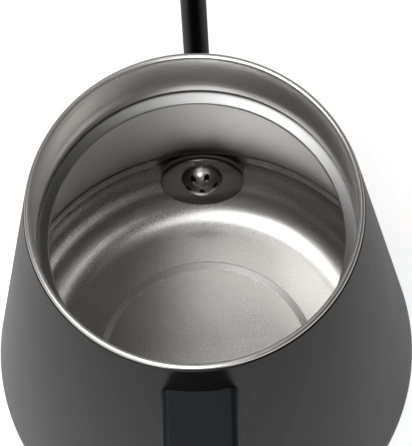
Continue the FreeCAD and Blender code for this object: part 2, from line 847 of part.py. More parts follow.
def make_jug_underside():
    """Socket of the jug, its contact, and the screwed bottom cover on studs under the pan."""
    socket_top = hanging_face
    bore_top = socket_top - D.socket_roof
    slot_inner = D.outer_ring_radius - D.socket_slot_room
    slot_outer = D.outer_ring_radius + D.ring_wall + D.socket_slot_room
    slot_top = jug_low + D.outer_ring_rise + D.socket_slot_room
    turned_piece("jug_connector", [
        (D.socket_bore, jug_low),
        (slot_inner, jug_low),
        (slot_inner, slot_top),
        (slot_outer, slot_top),
        (slot_outer, jug_low),
        (D.socket_radius, jug_low),
        (D.socket_radius, socket_top),
        (0, socket_top),
        (0, bore_top),
        (D.socket_bore, bore_top),
    ])
    contact_outer = D.socket_bore - D.weld_gap
    turned_piece("socket_contact", [
        (contact_outer - D.contact_wall, jug_low + D.ring_rise),
        (contact_outer, jug_low + D.ring_rise),
        (contact_outer, jug_low + D.ring_rise + D.ring_height),
        (contact_outer - D.contact_wall, jug_low + D.ring_rise + D.ring_height),
    ])
    cover_hole = D.socket_radius + D.fit_gap
    cover_edge = bottom_opening - D.fit_gap
    cover_top = jug_low + D.bottom_thickness
    cover = turned_piece("bottom_cover", [
        (cover_hole, jug_low),
        (bottom_centre, jug_low),
        (cover_edge, bottom_edge(nothing, cover_edge), D.bottom_round),
        (cover_edge, cover_top),
        (cover_hole, cover_top),
    ])
    sink_top = cover_top - D.cover_web
    screw_low = sink_top - D.fit_gap - D.stud_screw_head_height
    stud_places = around(COVER_STUDS, bottom_opening - D.stud_edge, STUD_TURN)
    stud_top = floor_top - D.pan_wall - D.weld_gap
    screw_bore = D.stud_screw_radius + D.fit_gap
    studs = []
    for index, (across, along) in enumerate(stud_places):
        post = loose_cylinder(f"stud_post_{index}", D.stud_radius, stud_top - cover_top, across, along, cover_top)
        bore = loose_cylinder(f"stud_bore_{index}", screw_bore, D.stud_screw_length, across, along, cover_top)
        stud = doc.addObject("Part::Cut", f"stud_{index}")
        stud.Base = post
        stud.Tool = bore
        studs.append(stud)
        cylinder(cover, f"cover_screw_hole_{index}", "Subtractive", screw_bore, D.bottom_thickness,
                 across, along, jug_low)
        cylinder(cover, f"cover_screw_sink_{index}", "Subtractive", D.stud_screw_head + D.fit_gap,
                 sink_top - jug_low, across, along, jug_low)
    group("cover_studs", studs)
    screws("cover_screws", stud_places, D.stud_screw_head, D.stud_screw_head_height,
           D.stud_screw_radius, D.stud_screw_length - D.fit_gap, screw_low)


def make_base():
    """Round housing with its plate, foot ring and screws."""
    boss_places = around(BASE_SCREWS, D.base_radius - D.base_boss_inset, BASE_SCREW_TURN)
    plug_hole = D.plug_radius + D.fit_gap
    inner_round = D.base_round - D.base_wall
    housing = turned_piece("base_housing", [
        (inner_wall, plate_low),
        (D.base_radius, plate_low),
        (D.base_radius, D.base_height - D.base_round),
        (D.base_radius - D.base_round, D.base_height, D.base_round),
        (plug_hole, D.base_height),
        (plug_hole, housing_roof),
        (inner_wall - inner_round, housing_roof),
        (inner_wall, housing_roof - inner_round, -inner_round),
    ])
    boss_low = plate_top + D.weld_gap
    screw_bore = D.base_screw_radius + D.fit_gap
    for index, (across, along) in enumerate(boss_places):
        cylinder(housing, f"boss_{index}", "Additive", D.base_boss_radius, housing_roof - boss_low,
                 across, along, boss_low)
        cylinder(housing, f"boss_bore_{index}", "Subtractive", screw_bore, D.base_screw_length,
                 across, along, boss_low)
    cylinder(housing, "button_hole", "Subtractive", D.button_radius + D.seat_gap, D.base_radius,
             0, 0, D.button_height, TOWARDS_HANDLE)
    cylinder(housing, "indicator_hole", "Subtractive", D.indicator_radius + D.weld_gap, D.base_radius,
             D.indicator_side, 0, D.button_height, TOWARDS_HANDLE)
    cylinder(housing, "gland_hole", "Subtractive", D.gland_radius + D.fit_gap, D.base_radius * 2,
             0, 0, D.gland_height, TOWARDS_SPOUT)

    plate_edge = inner_wall - D.fit_gap
    foot_outer = D.base_radius - D.foot_inset
    foot_inner = foot_outer - D.foot_width
    socket_roof = plate_low + D.foot_socket
    plate = turned_piece("base_plate", [
        (0, plate_low),
        (foot_inner - D.fit_gap, plate_low),
        (foot_inner - D.fit_gap, socket_roof),
        (foot_outer + D.fit_gap, socket_roof),
        (foot_outer + D.fit_gap, plate_low),
        (plate_edge, plate_low),
        (plate_edge, plate_top),
        (0, plate_top),
    ])
    sink = D.base_screw_head_height + D.fit_gap
    for index, (across, along) in enumerate(boss_places):
        cylinder(plate, f"plate_hole_{index}", "Subtractive", screw_bore, D.base_plate_thickness,
                 across, along, plate_low)
        cylinder(plate, f"plate_sink_{index}", "Subtractive", D.base_screw_head + D.fit_gap, sink,
                 across, along, plate_low)
    post_side = D.board_width / 2 - D.board_post_inset
    post_rows = (board_back + D.board_post_inset, board_front - D.board_post_inset)
    post_places = [(side, -row) for side in (post_side, -post_side) for row in post_rows]
    for index, (across, along) in enumerate(post_places):
        cylinder(plate, f"board_post_{index}", "Additive", D.board_post_radius, D.board_rise,
                 across, along, plate_top)
    screws("base_screws", boss_places, D.base_screw_head, D.base_screw_head_height, D.base_screw_radius,
           D.base_screw_length, plate_low)
    turned_piece("rubber_foot_ring", [
        (foot_inner, 0),
        (foot_outer, 0),
        (foot_outer, socket_roof),
        (foot_inner, socket_roof),
    ])


def make_plug():
    """Insulating plug of the base with its post, pin and two contact rings."""
    plug_low = D.base_height - D.plug_depth
    flange_top = housing_roof - D.weld_gap
    flange_low = flange_top - D.plug_flange_height
    post_top = D.base_height + D.post_height
    root_low = D.base_height - D.outer_ring_root
    slot_inner = D.outer_ring_radius - D.weld_gap
    slot_outer = D.outer_ring_radius + D.ring_wall + D.weld_gap
    pin_bore = D.pin_radius + D.weld_gap
    turned_piece("base_connector", [
        (0, plug_low),
        (D.plug_radius, plug_low),
        (D.plug_radius, flange_low),
        (D.plug_radius + D.plug_flange, flange_low),
        (D.plug_radius + D.plug_flange, flange_top),
        (D.plug_radius, flange_top),
        (D.plug_radius, D.base_height),
        (slot_outer, D.base_height),
        (slot_outer, root_low),
        (slot_inner, root_low),
        (slot_inner, D.base_height),
        (D.post_radius, D.base_height),
        (D.post_radius, post_top),
        (pin_bore, post_top),
        (pin_bore, post_top - D.pin_root),
        (0, post_top - D.pin_root),
    ])
    turned_piece("contact_pin", [
        (0, post_top - D.pin_root),
        (D.pin_radius, post_top - D.pin_root),
        (D.pin_radius, post_top + D.pin_rise / 2),
        (D.pin_radius / 2, post_top + D.pin_rise),
        (0, post_top + D.pin_rise),
    ])
    inner_ring = D.post_radius + D.weld_gap
    ring_low = D.base_height + D.ring_rise
    turned_piece("inner_contact_ring", [
        (inner_ring, ring_low),
        (inner_ring + D.ring_wall, ring_low),
        (inner_ring + D.ring_wall, ring_low + D.ring_height),
        (inner_ring, ring_low + D.ring_height),
    ])
    outer_top = D.base_height + D.outer_ring_rise
    turned_piece("outer_contact_ring", [
        (D.outer_ring_radius, root_low),
        (D.outer_ring_radius + D.ring_wall, root_low),
        (D.outer_ring_radius + D.ring_wall, outer_top),
        (D.outer_ring_radius, outer_top),
    ])


def make_base_electronics():
    """Control board with its relay and switch, the power button, its spring, the lens and the gland."""
    board = new_body("control_board")
    block(board, "board_sheet", "Additive", D.board_width, D.board_length, D.board_thickness,
          -board_front, board_low)
    relay = new_body("power_relay")
    block(relay, "relay_case", "Additive", D.relay_width, D.relay_length, D.relay_height,
          -(board_back + D.relay_back + D.relay_length), board_top)
    switch = new_body("button_switch")
    block(switch, "switch_case", "Additive", D.switch_width, D.switch_length, D.switch_height,
          -board_front, board_top)
    cylinder(switch, "switch_plunger", "Additive", D.plunger_radius, D.plunger_length,
             0, -board_front, D.button_height, TOWARDS_HANDLE)

    flange_radius = D.button_radius + D.button_flange
    flange_front = leg(inner_wall, flange_radius) - D.seat_gap
    flange_back = flange_front - D.button_flange_height
    face = D.base_radius + D.button_proud
    bore_floor = face - D.button_roof
    stem_end = board_front + D.plunger_length + D.button_travel + D.fit_gap
    piece_along("power_button", D.button_height, [
        (-face, 0),
        (-stem_end, 0),
        (-stem_end, D.button_stem),
        (-bore_floor, D.button_stem),
        (-bore_floor, D.button_bore),
        (-flange_back, D.button_bore),
        (-flange_back, flange_radius),
        (-flange_front, flange_radius),
        (-flange_front, D.button_radius),
        (-face, D.button_radius),
    ])
    spring_back = board_front + D.button_travel + D.fit_gap
    piece_along("button_spring", D.button_height, [
        (-(bore_floor - D.weld_gap), D.spring_radius - D.spring_wall),
        (-spring_back, D.spring_radius - D.spring_wall),
        (-spring_back, D.spring_radius),
        (-(bore_floor - D.weld_gap), D.spring_radius),
    ])
    lens_front = leg(D.base_radius, D.indicator_side)
    piece_along("indicator_lens", D.button_height, [
        (-lens_front, 0),
        (-(lens_front - D.indicator_length), 0),
        (-(lens_front - D.indicator_length), D.indicator_radius),
        (-lens_front, D.indicator_radius),
    ], side=D.indicator_side)
    gland_edge = D.gland_radius + D.gland_flange
    gland_back = inner_wall - D.gland_tail
    gland_seat = D.base_radius + D.weld_gap
    piece_along("cord_gland", D.gland_height, [
        (gland_back, D.gland_bore),
        (gland_seat + D.gland_flange_height, D.gland_bore),
        (gland_seat + D.gland_flange_height, gland_edge - D.gland_flange / 2),
        (gland_seat + D.gland_flange_height / 2, gland_edge),
        (gland_seat, gland_edge),
        (gland_seat, D.gland_radius),
        (gland_back, D.gland_radius),
    ])


def check_and_export():
    """Stop on any failed feature or bad solid, then write one file per piece."""
    doc.recompute()
    for item in doc.Objects:
        if "Invalid" in item.State or "Error" in item.State:
            raise RuntimeError(f"{item.Label} failed: {item.State}")
    for label, item in nodes.items():
        if item.Shape.isNull() or not item.Shape.isValid() or not item.Shape.Solids:
            raise RuntimeError(f"{label} has no valid solid")
    os.makedirs("parts", exist_ok=True)
    for label, item in nodes.items():
        item.Shape.exportStep(f"parts/{label}.step")
        solids = item.Shape.Solids
        volume = sum(solid.Volume for solid in solids)
        print(f"{label}: {len(solids)} solid(s), {volume:.1f} mm3")


make_body_shell()
make_mouth()
make_floor_pan()
make_spout()
make_strainer()
make_handle()
make_heater()
make_jug_underside()
make_base()
make_plug()
make_base_electronics()
check_and_export()
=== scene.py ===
import math

import bmesh
import bpy
from bpy.props import FloatProperty, FloatVectorProperty, IntProperty, PointerProperty
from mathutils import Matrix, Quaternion, Vector


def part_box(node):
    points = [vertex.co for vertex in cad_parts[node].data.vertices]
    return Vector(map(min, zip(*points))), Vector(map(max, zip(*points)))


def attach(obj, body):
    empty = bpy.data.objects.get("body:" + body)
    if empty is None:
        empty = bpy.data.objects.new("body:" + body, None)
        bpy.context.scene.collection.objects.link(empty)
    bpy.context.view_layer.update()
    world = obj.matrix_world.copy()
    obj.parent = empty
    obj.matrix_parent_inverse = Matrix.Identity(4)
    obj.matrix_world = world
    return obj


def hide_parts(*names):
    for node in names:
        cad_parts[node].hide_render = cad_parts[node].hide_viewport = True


bl_info = {
    "name": "Gooseneck kettle",
    "version": (1, 0, 0),
    "blender": (4, 5, 0),
    "location": "3D View > Sidebar > Kettle",
    "description": "Dresses an electric kettle with a gooseneck spout and sets up its studio",
    "category": "Object",
}

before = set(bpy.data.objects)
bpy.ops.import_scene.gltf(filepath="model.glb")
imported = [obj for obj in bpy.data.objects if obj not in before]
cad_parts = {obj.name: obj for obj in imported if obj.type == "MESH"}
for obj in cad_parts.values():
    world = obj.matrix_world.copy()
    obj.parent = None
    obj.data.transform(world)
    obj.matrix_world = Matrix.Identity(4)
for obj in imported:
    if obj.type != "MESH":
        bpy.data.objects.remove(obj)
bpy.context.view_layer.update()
RIM_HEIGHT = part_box("mouth_collar")[1].z
JUG_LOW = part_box("bottom_cover")[0].z
UP = Vector((0, 0, 1))
ACROSS = Vector((1, 0, 0))
SPOUTWARD = Vector((0, 1, 0))
CAMERA_UP = Vector((0, 1, 0))
WHITE = (1.0, 1.0, 1.0)

# Angle of straight down in an outline of (radius, height).
DOWNWARD = -math.pi / 2.0

# Holes round the one in the dome's middle, and the first one's turn in degrees.
DOME_HOLES = 6
DOME_FIRST_HOLE = 8.0

# Steps along the arcs of outlines and bends.
CORNER_STEPS = 5
BAND_STEPS = 10
BEAD_STEPS = 12
DOME_STEPS = 16
BEND_STEPS = 20
ROUND_STEPS = 24
FINE_STEPS = 28

# Sides of the smaller round pieces and of the bars that cut them.
HOLE_SIDES = 32
TUBE_SIDES = 48
WAY_SIDES = 64
BORE_SIDES = 96
DISC_SIDES = 128

# Rounds and steps as shares of a sheet's thickness.
WALL_EDGE = 0.3
BAND_EDGE = 0.4
SKIRT_STEP = 0.3
SKIRT_EDGE = 0.1

# Length of a cutting bar over the depth that it cuts, then the spout's bar and the ring above it, in
# radii of the tube.
CUT_THROUGH = 4.0
WAY_LENGTH = 6.0
WAY_RING = 4.0

# A bar is rolled by a half turn over this many times its sides, so that its corners miss the piece's.
BAR_ROLL = 3.0

# Square that shrinks to the first point of an outline.
START_SIZE = 0.01

# Faces that meet at less than this angle look smooth.
SMOOTH_BELOW = math.radians(32.0)

# Points nearer than this are one point, in a finished piece and in an outline.
JOIN_WITHIN = 1e-6
OUTLINE_JOIN_WITHIN = 1e-7

# Slope above which a face of the dish looks upwards.
UPTURNED = 0.2

# Depth at which the seal has turned grey, over the depth of the black band painted at its edge next to
# the disc: painted shadow of the gap there.
SEAL_SHADOW_FADE = 1.2

# Studio: the floor's side and its parts along a side, how fast the horizon's light falls off, and the
# height that the lamps look at, as a share of the rim's. Then each lamp's degrees above the horizon and
# round from the right.
FLOOR_SIZE = 8.0
FLOOR_PARTS = 4
HORIZON_FALL = 6.0
LAMP_AIM = 0.7
LAMPS = (
    ("key", 66.0, 202.0),
    ("top", 75.0, 230.0),
    ("left", 38.0, 215.0),
    ("front", 33.0, 262.0),
    ("back", 58.0, 90.0),
)


def length(name, description, default):
    return FloatProperty(name=name, description=description, default=default, unit="LENGTH", precision=5)


def angle(name, description, degrees):
    return FloatProperty(name=name, description=description, default=math.radians(degrees),
                         subtype="ANGLE")


def colour(name, description, red, green, blue):
    return FloatVectorProperty(name=name, description=description, default=(red, green, blue), size=3,
                               min=0.0, max=1.0, subtype="COLOR")


def strength(name, description, default):
    return FloatProperty(name=name, description=description, default=default, min=0.0)


class KettleSizes(bpy.types.PropertyGroup):
    """Sizes of the dressed pieces, as the solids have them."""

    segments: IntProperty(name="Segments", description="Steps round a turned piece", default=192, min=24)
    rim_radius: length("Rim radius", "Outer radius of the rolled lip", 0.048)
    rim_height: length("Rim height", "Top of the lip above the table", RIM_HEIGHT)
    jug_low: length("Jug underside", "Underside of the jug above the table", JUG_LOW)
    flare: FloatProperty(name="Flare", description="Widening of the wall per unit of height",
                         default=0.147)
    wall: length("Wall", "Sheet of the body", 0.0009)
    bottom_round: length("Bottom round", "Round between the wall and the underside", 0.030)
    opening_reach: length("Opening reach", "Edge of the bottom opening past the round's centre", 0.0085)
    lip_roll: length("Lip", "Thickness of the rolled lip", 0.0017)
    lip_step: length("Lip step", "Small step under the lip's inner side", 0.00035)
    collar_set: length("Band set", "Bore of the band inside the rim", 0.0022)
    collar_wall: length("Band wall", "Sheet of the band", 0.0006)
    collar_hollow: length("Band hollow", "Round of the hollow band", 0.044)
    collar_straight: length("Band straight", "Straight foot of the band", 0.006)
    collar_depth: length("Band depth", "Foot of the band below the rim", 0.0217)
    seam_gap: length("Seam", "Dark gap under the band", 0.0017)
    ledge_width: length("Ledge width", "Ledge past the band's bore", 0.003)
    ledge_drop: length("Ledge drop", "Fall of the ledge to its edge", 0.001)
    ledge_wall: length("Ledge wall", "Sheet of the ledge", 0.0012)
    ledge_round: length("Ledge round", "Round of the ledge's inner edge", 0.0004)
    ledge_bend: length("Ledge bend", "Round where the ledge turns down", 0.0005)
    sheet_gap: length("Sheet gap", "Gap between lapped sheets", 0.0001)
    pan_wall: length("Dish wall", "Sheet of the floor dish", 0.001)
    pan_rise: length("Dish edge", "Top edge of the dish above the underside", 0.042)
    floor_rise: length("Floor", "Floor above the underside", 0.0156)
    cove_round: length("Cove", "Round between floor and wall", 0.0175)
    bead_land: length("Bead land", "Flat above the bead's notch", 0.0018)
    bead_notch: length("Bead notch", "Height of the notch under the land", 0.0009)
    bead_depth: length("Bead depth", "Depth of the notch", 0.00035)
    bead_round: length("Bead round", "Round of the swelling under the notch", 0.0052)
    notch_round: length("Notch round", "Round at the bottom of the notch", 0.00015)
    press_round: length("Press round", "Round of the dish's pressed corners", 0.0003)
    floor_ring: length("Floor ring", "Flat ring between cove and sunk disc", 0.0102)
    sink_slope: length("Sink slope", "Width of the slope to the sunk disc", 0.0022)
    sink_depth: length("Sink depth", "Depth of the sunk disc", 0.0007)
    plate_radius: length("Strainer radius", "Radius of the strainer's disc", 0.0135)
    plate_wall: length("Strainer wall", "Sheet of the strainer's disc", 0.0008)
    plate_sleeve: length("Strainer sleeve", "Sleeve behind the disc", 0.0022)
    plate_back_round: length("Strainer back round", "Round of the disc's back edge", 0.0002)
    plate_round: length("Strainer round", "Round of the disc's front edge", 0.0003)
    plate_standoff: length("Strainer stand-off", "Dome's foot in front of the wall", 0.00565)
    plate_drop: length("Strainer drop", "Disc's middle below the dome's", 0.0027)
    # The seal's black band next to the disc is painted shadow of the gap between disc and wall.
    seal_shadow_band: length("Seal lip", "Black lip of the seal behind the disc", 0.0001)
    plate_tilt: angle("Strainer tilt", "Lean of the disc from upright", 10.0)
    dome_radius: length("Dome radius", "Radius of the perforated dome", 0.0066)
    dome_height: length("Dome height", "Rise of the dome over the disc", 0.0054)
    dome_wall: length("Dome wall", "Sheet of the dome", 0.0006)
    dome_gap: length("Dome gap", "Gap round the dome", 0.00015)
    dome_hole: length("Dome hole", "Radius of a hole in the dome", 0.0009)
    dome_circle: length("Dome circle", "Radius of the circle of holes", 0.0043)
    hole_lift: length("Hole lift", "Circle of holes above the dome's middle", 0.0008)
    spout_rise: length("Spout rise", "Inlet of the spout above the underside", 0.03465)
    spout_radius: length("Spout radius", "Outer radius of the tube", 0.004)
    spout_wall: length("Spout wall", "Sheet of the tube", 0.0006)
    inlet_gap: length("Inlet gap", "Tube's end behind the strainer", 0.0022)
    elbow_reach: length("Elbow reach", "Lower corner of the tube past the wall", 0.014)
    elbow_round: length("Elbow round", "Lower bend of the tube", 0.009)
    spout_lean: length("Spout lean", "Upper corner past the lower one", 0.012)
    crest_rise: length("Crest rise", "Upper corner above the underside", 0.146)
    crest_round: length("Crest round", "Upper bend of the tube", 0.017)
    tip_reach: length("Tip reach", "Tip past the upper corner", 0.032)
    tip_climb: length("Tip climb", "Tip above the upper corner", 0.006)


class KettleFinishes(bpy.types.PropertyGroup):
    """Colours of the finishes."""

    coat: colour("Coat", "Satin black coat of body and spout", 0.0032, 0.0032, 0.0034)
    steel: colour("Steel", "Bare steel of wall and floor", 0.74, 0.73, 0.71)
    strainer: colour("Strainer steel", "Dull disc of the strainer", 0.42, 0.41, 0.39)
    # Step steel is a darker copy of the floor steel: painted shade on the step's slope.
    step: colour("Step steel", "Duller steel of the floor's pressed step", 0.27, 0.266, 0.26)
    bright: colour("Bright steel", "Satin lip and band", 0.80, 0.79, 0.77)
    # Ledge steel is a darker copy of the band's steel, toning down the ledge's highlight: painted shade.
    ledge: colour("Ledge steel", "Duller steel of the lid ledge", 0.42, 0.42, 0.42)
    # A cut edge, painted far darker than the steel so that the highlight on the dish's upturned top edge
    # is dimmed: painted shade.
    edge: colour("Sheared edge", "Dull cut edge of the floor dish", 0.10, 0.10, 0.095)
    handle: colour("Handle", "Fine-textured plastic of the handle", 0.010, 0.0105, 0.012)
    base: colour("Base", "Plastic of the power base", 0.018, 0.018, 0.019)
    insulator: colour("Insulator", "Moulded plastic of plug and socket", 0.035, 0.035, 0.038)
    button: colour("Button", "Plastic of the power button", 0.060, 0.060, 0.064)
    # This colour also serves as the painted shadow band on the strainer's seal.
    rubber: colour("Rubber", "Foot ring, gland and the seal's lip", 0.012, 0.012, 0.012)
    seal: colour("Seal", "Grey silicone of the strainer's seal", 0.17, 0.17, 0.16)
    screw: colour("Screw steel", "Screws and studs", 0.48, 0.48, 0.49)
    aluminium: colour("Aluminium", "Heat spreader", 0.70, 0.70, 0.72)
    brass: colour("Brass", "Contacts", 0.72, 0.52, 0.22)
    board: colour("Board", "Lacquered circuit board", 0.02, 0.12, 0.05)
    lens: colour("Lens", "Indicator lens", 0.75, 0.08, 0.04)


class KettleStudio(bpy.types.PropertyGroup):
    """Camera and light."""

    distance: length("Distance", "Camera to the middle of the rim", 0.8429)
    elevation: angle("Elevation", "Camera above the horizon", 67.9)
    azimuth: angle("Azimuth", "Camera round from the handle", 3.3)
    pan: angle("Pan", "Camera turned off the rim's middle", -0.2)
    tilt: angle("Tilt", "Camera tipped off the rim's middle", -0.32)
    roll: angle("Roll", "Camera turned about its view", 4.8)
    lens: FloatProperty(name="Lens", description="Focal length", default=242.15, unit="CAMERA")
    floor: colour("Floor", "Pale floor", 0.86, 0.86, 0.86)
    floor_seen: strength("Floor seen", "Glow of the floor to the camera", 0.75)
    floor_mirrored: strength("Floor mirrored", "Glow of the floor in reflections", 0.1)
    world: strength("World", "Even light from all round", 0.02)
    horizon: strength("Horizon", "Light of the pale walls round the floor", 0.4)
    lamp_distance: length("Lamp distance", "Lamps to the middle of the kettle", 1.1)
    lamp_width: length("Lamp width", "Side of a square lamp", 0.6)
    key: strength("Key", "Power of the soft lamp above on the left", 3.3)
    top: strength("Top", "Power of the lamp nearly overhead", 1.85)
    left: strength("Left", "Power of the lamp in front on the left", 1.9)
    front: strength("Front", "Power of the low lamp in front", 4.4)
    back: strength("Back", "Power of the lamp behind", 0.6)


class Socket:
    """One value of a shader, so that sums of values are written as sums."""

    def __init__(self, paint, link):
        self.paint = paint
        self.link = link

    def join(self, operation, first, second):
        return self.paint.node("ShaderNodeMath", {"operation": operation}, {0: first, 1: second})

    def __add__(self, other):
        return self.join("ADD", self, other)

    def __sub__(self, other):
        return self.join("SUBTRACT", self, other)

    def __rsub__(self, other):
        return self.join("SUBTRACT", other, self)

    def __mul__(self, other):
        return self.join("MULTIPLY", self, other)

    def __pow__(self, other):
        return self.join("POWER", self, other)

    __radd__ = __add__
    __rmul__ = __mul__


class Paint:
    """A material or other shader, and the nodes that make it."""

    def __init__(self, name, owner=None):
        self.owner = owner or bpy.data.materials.new(name)
        self.owner.use_nodes = True
        self.tree = self.owner.node_tree
        self.tree.nodes.clear()

    def node(self, kind, settings=None, inputs=None, output=0):
        """A node with its settings made first, then the values or links of its sockets."""
        made = self.tree.nodes.new(kind)
        for name, value in (settings or {}).items():
            setattr(made, name, value)
        for name, value in (inputs or {}).items():
            if isinstance(value, Socket):
                self.tree.links.new(value.link, made.inputs[name])
            else:
                made.inputs[name].default_value = value
        return Socket(self, made.outputs[output]) if made.outputs else None

    def coordinates(self):
        return self.node("ShaderNodeTexCoord", output="Object")

    def part(self, vector, axis):
        """One coordinate of a vector."""
        return self.node("ShaderNodeSeparateXYZ", inputs={"Vector": vector}, output=axis)

    def noise(self, vector, scale, detail=2.0, roughness=0.5):
        return self.node("ShaderNodeTexNoise", inputs={
            "Vector": vector, "Scale": scale, "Detail": detail, "Roughness": roughness})

    def ramp(self, value, low, high):
        """Stretch a value's range from low..high to 0..1."""
        return self.node("ShaderNodeMapRange", {"clamp": True}, {
            "Value": value, "From Min": low, "From Max": high, "To Min": 0.0, "To Max": 1.0})

    def mix(self, factor, first, second):
        """Colour between two colours."""
        return self.node("ShaderNodeMix", {"data_type": "RGBA"},
                         {0: factor, 6: first, 7: second}, output=2)

    def shades(self, factor, shade, dark, light):
        """One colour, between a darker and a lighter form of it."""
        return self.mix(factor, opaque(shade, dark), opaque(shade, light))

    def rings(self, vector, scale, drift):
        """Noise in fine rings round the upright axis, with a slow drift along each ring."""
        x, y, z = (self.part(vector, axis) for axis in "XYZ")
        radius = (x * x + y * y) ** 0.5
        turned = self.node("ShaderNodeCombineXYZ", inputs={
            "X": radius * scale + x * drift, "Y": y * drift, "Z": z * scale})
        return self.noise(turned, scale=1.0, detail=2.0, roughness=0.6)

    def bump(self, height, amount, depth):
        return self.node("ShaderNodeBump", inputs={
            "Strength": amount, "Distance": depth, "Height": height})

    def surface(self, inputs):
        shader = self.node("ShaderNodeBsdfPrincipled", inputs=inputs)
        self.node("ShaderNodeOutputMaterial", inputs={"Surface": shader})
        return self.owner


def opaque(shade, factor=1.0):
    """A colour as four numbers, made lighter or darker."""
    return tuple(min(part * factor, 1.0) for part in shade) + (1.0,)


def satin_coat(name, shade, rough, gloss):
    """Powder coat: faint clouding, orange peel in the gloss."""
    paint = Paint(name)
    place = paint.coordinates()
    cloud = paint.noise(place, scale=28.0, detail=3.0)
    peel = paint.noise(place, scale=1900.0)
    grain = paint.noise(place, scale=5200.0, detail=1.0)
    return paint.surface({
        "Base Color": paint.shades(cloud, shade, dark=0.8, light=1.25),
        "Roughness": rough + 0.08 * cloud + 0.05 * grain,
        "Specular IOR Level": gloss,
        "Normal": paint.bump(peel, amount=0.25, depth=0.00003),
    })


def drawn_steel(name, shade, rough, ring_share, grain_depth, mottle):
    """Satin steel: fine rings, faint stains, an even grain."""
    paint = Paint(name)
    place = paint.coordinates()
    ring = paint.rings(place, scale=2600.0, drift=40.0)
    wide = paint.rings(place, scale=380.0, drift=12.0)
    stain = paint.noise(place, scale=45.0, detail=4.0)
    grain = paint.noise(place, scale=2600.0, detail=3.0, roughness=0.7)
    return paint.surface({
        "Base Color": paint.shades(stain * 0.3 + grain * 0.7, shade, dark=1.0 - mottle,
                                   light=1.0 + mottle),
        "Metallic": 1.0,
        "Roughness": rough + 0.07 * grain + ring_share * (0.03 * ring + 0.03 * wide) + 0.02 * stain,
        "Normal": paint.bump(ring * ring_share + grain * (1.0 - ring_share), amount=0.35,
                             depth=grain_depth),
    })


def bright_steel(name, shade, rough):
    """Smooth steel with hairlines and faint smears."""
    paint = Paint(name)
    place = paint.coordinates()
    ring = paint.rings(place, scale=3200.0, drift=30.0)
    smear = paint.noise(place, scale=60.0, detail=3.0)
    return paint.surface({
        "Base Color": paint.shades(smear, shade, dark=0.95, light=1.03),
        "Metallic": 1.0,
        "Roughness": rough + 0.05 * ring + 0.05 * smear,
        "Normal": paint.bump(ring, amount=0.15, depth=0.000008),
    })


def textured_plastic(name, shade, rough, grain_scale):
    """Moulded plastic with an even spark-eroded grain."""
    paint = Paint(name)
    place = paint.coordinates()
    cloud = paint.noise(place, scale=40.0, detail=3.0)
    pits = paint.node("ShaderNodeTexVoronoi", {"feature": "SMOOTH_F1"},
                      {"Vector": place, "Scale": grain_scale})
    grain = paint.noise(place, scale=grain_scale * 2.0)
    return paint.surface({
        "Base Color": paint.shades(cloud * 0.5 + grain * 0.5, shade, dark=0.85, light=1.2),
        "Roughness": rough + 0.1 * grain - 0.05 * cloud,
        "Specular IOR Level": 0.3,
        "Normal": paint.bump(pits * 0.6 + grain * 0.4, amount=0.3, depth=0.00004),
    })


def seal_with_painted_shadow(name, shadow_shade, shade, middle, backward, lip):
    """Moulded grey silicone with a black band painted next to the disc: painted shadow of the gap behind
    the strainer.
    """
    paint = Paint(name)
    place = paint.coordinates()
    along = paint.node("ShaderNodeVectorMath", {"operation": "DOT_PRODUCT"},
                       {0: place, 1: backward}, output="Value")
    # Painted shadow: black up to this depth behind the disc, then grey.
    behind = paint.ramp(along - middle.dot(backward), lip, lip * SEAL_SHADOW_FADE)
    grain = paint.noise(place, scale=1800.0)
    return paint.surface({
        "Base Color": paint.mix(behind, opaque(shadow_shade), opaque(shade)),
        "Roughness": 0.5 + 0.15 * grain,
        "Specular IOR Level": 0.2,
        "Normal": paint.bump(grain, amount=0.2, depth=0.00003),
    })


def gloss_plastic(name, shade, rough):
    """Moulded gloss plastic with faint flow marks."""
    paint = Paint(name)
    place = paint.coordinates()
    flow = paint.noise(place, scale=160.0, detail=3.0)
    fine = paint.noise(place, scale=2400.0)
    return paint.surface({
        "Base Color": paint.shades(flow, shade, dark=0.85, light=1.2),
        "Roughness": rough + 0.12 * flow,
        "Normal": paint.bump(fine, amount=0.1, depth=0.00002),
    })


def plain_metal(name, shade, rough):
    """Turned or pressed metal with small scratches."""
    paint = Paint(name)
    place = paint.coordinates()
    scratch = paint.noise(place, scale=900.0, detail=4.0, roughness=0.7)
    stain = paint.noise(place, scale=120.0, detail=3.0)
    return paint.surface({
        "Base Color": paint.shades(stain, shade, dark=0.8, light=1.1),
        "Metallic": 1.0,
        "Roughness": rough + 0.15 * scratch,
        "Normal": paint.bump(scratch, amount=0.15, depth=0.00002),
    })


def lit_lens(name, shade):
    """Clear red lens with a faint moulded haze."""
    paint = Paint(name)
    haze = paint.noise(paint.coordinates(), scale=1400.0)
    return paint.surface({
        "Base Color": paint.shades(haze, shade, dark=0.7, light=1.1),
        "Roughness": 0.12 + 0.1 * haze,
        "Coat Weight": 0.6,
        "Emission Color": paint.shades(haze, shade, dark=0.4, light=0.7),
        "Emission Strength": 0.25,
    })


def flare_length(s):
    """Length along the flared wall per unit of height."""
    return math.sqrt(1.0 + s.flare * s.flare)


def wall_radius(s, height, inset=0.0):
    """Radius of the flared wall at a height, set in from its outer face."""
    return s.rim_radius + s.flare * (s.rim_height - height) - inset * flare_length(s)


def bottom_centre(s):
    """Centre of the bottom round, as (radius, height)."""
    height = s.jug_low + s.bottom_round
    return wall_radius(s, height, s.bottom_round), height


def sweep(centre, radius, start, end, steps):
    """Points of an arc between two angles."""
    points = []
    for step in range(steps + 1):
        turn = start + (end - start) * step / steps
        points.append((centre[0] + radius * math.cos(turn), centre[1] + radius * math.sin(turn)))
    return points


